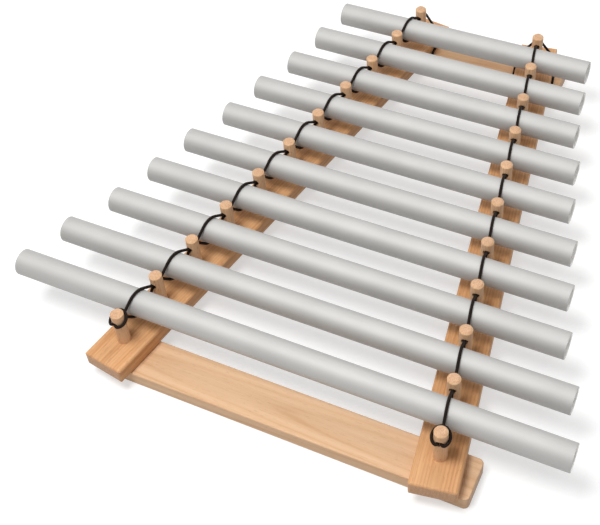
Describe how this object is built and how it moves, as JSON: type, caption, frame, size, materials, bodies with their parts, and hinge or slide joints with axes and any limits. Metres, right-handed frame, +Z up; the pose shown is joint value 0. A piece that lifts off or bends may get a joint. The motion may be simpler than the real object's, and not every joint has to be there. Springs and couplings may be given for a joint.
{
  "type": "table tube chime",
  "caption": "Table chime: open tuned metal tubes of stepped lengths, carried on elastic cords strung through pegs along the converging rails of a wooden frame.",
  "frame": {"origin": "on the table, under the middle of the chime's bounding box", "axes": "+X along the tubes, towards the side where the crossbars stand out beyond the rail; +Y from the longest tube to the shortest; +Z up"},
  "size_m": [0.532, 0.5782, 0.0717],
  "materials": {
    "satin_aluminium": "satin anodised",
    "rail_beech": "oiled beech",
    "bar_beech": "oiled pale beech",
    "dowel": "bare dowel",
    "elastic_cord": "braided elastic",
    "screw_steel": "zinc plated"
  },
  "bodies": {
    "frame": {"front_crossbar": "bar_beech", "rear_crossbar": "bar_beech", "left_rail": "rail_beech", "right_rail": "rail_beech", "frame_screws": "screw_steel", "left_cord": "elastic_cord", "right_cord": "elastic_cord", "left_peg_01": "dowel", "left_peg_02": "dowel", "left_peg_03": "dowel", "left_peg_04": "dowel", "left_peg_05": "dowel", "left_peg_06": "dowel", "left_peg_07": "dowel", "left_peg_08": "dowel", "left_peg_09": "dowel", "left_peg_10": "dowel", "left_peg_11": "dowel", "right_peg_01": "dowel", "right_peg_02": "dowel", "right_peg_03": "dowel", "right_peg_04": "dowel", "right_peg_05": "dowel", "right_peg_06": "dowel", "right_peg_07": "dowel", "right_peg_08": "dowel", "right_peg_09": "dowel", "right_peg_10": "dowel", "right_peg_11": "dowel"},
    "tube_01": {"tube_01": "satin_aluminium"},
    "tube_02": {"tube_02": "satin_aluminium"},
    "tube_03": {"tube_03": "satin_aluminium"},
    "tube_04": {"tube_04": "satin_aluminium"},
    "tube_05": {"tube_05": "satin_aluminium"},
    "tube_06": {"tube_06": "satin_aluminium"},
    "tube_07": {"tube_07": "satin_aluminium"},
    "tube_08": {"tube_08": "satin_aluminium"},
    "tube_09": {"tube_09": "satin_aluminium"},
    "tube_10": {"tube_10": "satin_aluminium"}
  },
  "joints": [
    {"name": "tube_01_bounce", "type": "slide", "parent": "frame", "child": "tube_01", "axis": [0, 0, 1], "range_m": [-0.006, 0.003], "stiffness_N_per_m": 600, "springref_m": 0.00339, "deforming": ["left_cord", "right_cord"]},
    {"name": "tube_02_bounce", "type": "slide", "parent": "frame", "child": "tube_02", "axis": [0, 0, 1], "range_m": [-0.006, 0.003], "stiffness_N_per_m": 600, "springref_m": 0.0032, "deforming": ["left_cord", "right_cord"]},
    {"name": "tube_03_bounce", "type": "slide", "parent": "frame", "child": "tube_03", "axis": [0, 0, 1], "range_m": [-0.006, 0.003], "stiffness_N_per_m": 600, "springref_m": 0.00294, "deforming": ["left_cord", "right_cord"]},
    {"name": "tube_04_bounce", "type": "slide", "parent": "frame", "child": "tube_04", "axis": [0, 0, 1], "range_m": [-0.006, 0.003], "stiffness_N_per_m": 600, "springref_m": 0.00277, "deforming": ["left_cord", "right_cord"]},
    {"name": "tube_05_bounce", "type": "slide", "parent": "frame", "child": "tube_05", "axis": [0, 0, 1], "range_m": [-0.006, 0.003], "stiffness_N_per_m": 600, "springref_m": 0.00262, "deforming": ["left_cord", "right_cord"]},
    {"name": "tube_06_bounce", "type": "slide", "parent": "frame", "child": "tube_06", "axis": [0, 0, 1], "range_m": [-0.006, 0.003], "stiffness_N_per_m": 600, "springref_m": 0.0024, "deforming": ["left_cord", "right_cord"]},
    {"name": "tube_07_bounce", "type": "slide", "parent": "frame", "child": "tube_07", "axis": [0, 0, 1], "range_m": [-0.006, 0.003], "stiffness_N_per_m": 600, "springref_m": 0.00227, "deforming": ["left_cord", "right_cord"]},
    {"name": "tube_08_bounce", "type": "slide", "parent": "frame", "child": "tube_08", "axis": [0, 0, 1], "range_m": [-0.006, 0.003], "stiffness_N_per_m": 600, "springref_m": 0.00208, "deforming": ["left_cord", "right_cord"]},
    {"name": "tube_09_bounce", "type": "slide", "parent": "frame", "child": "tube_09", "axis": [0, 0, 1], "range_m": [-0.006, 0.003], "stiffness_N_per_m": 600, "springref_m": 0.00196, "deforming": ["left_cord", "right_cord"]},
    {"name": "tube_10_bounce", "type": "slide", "parent": "frame", "child": "tube_10", "axis": [0, 0, 1], "range_m": [-0.006, 0.003], "stiffness_N_per_m": 600, "springref_m": 0.00185, "deforming": ["left_cord", "right_cord"]}
  ]
}
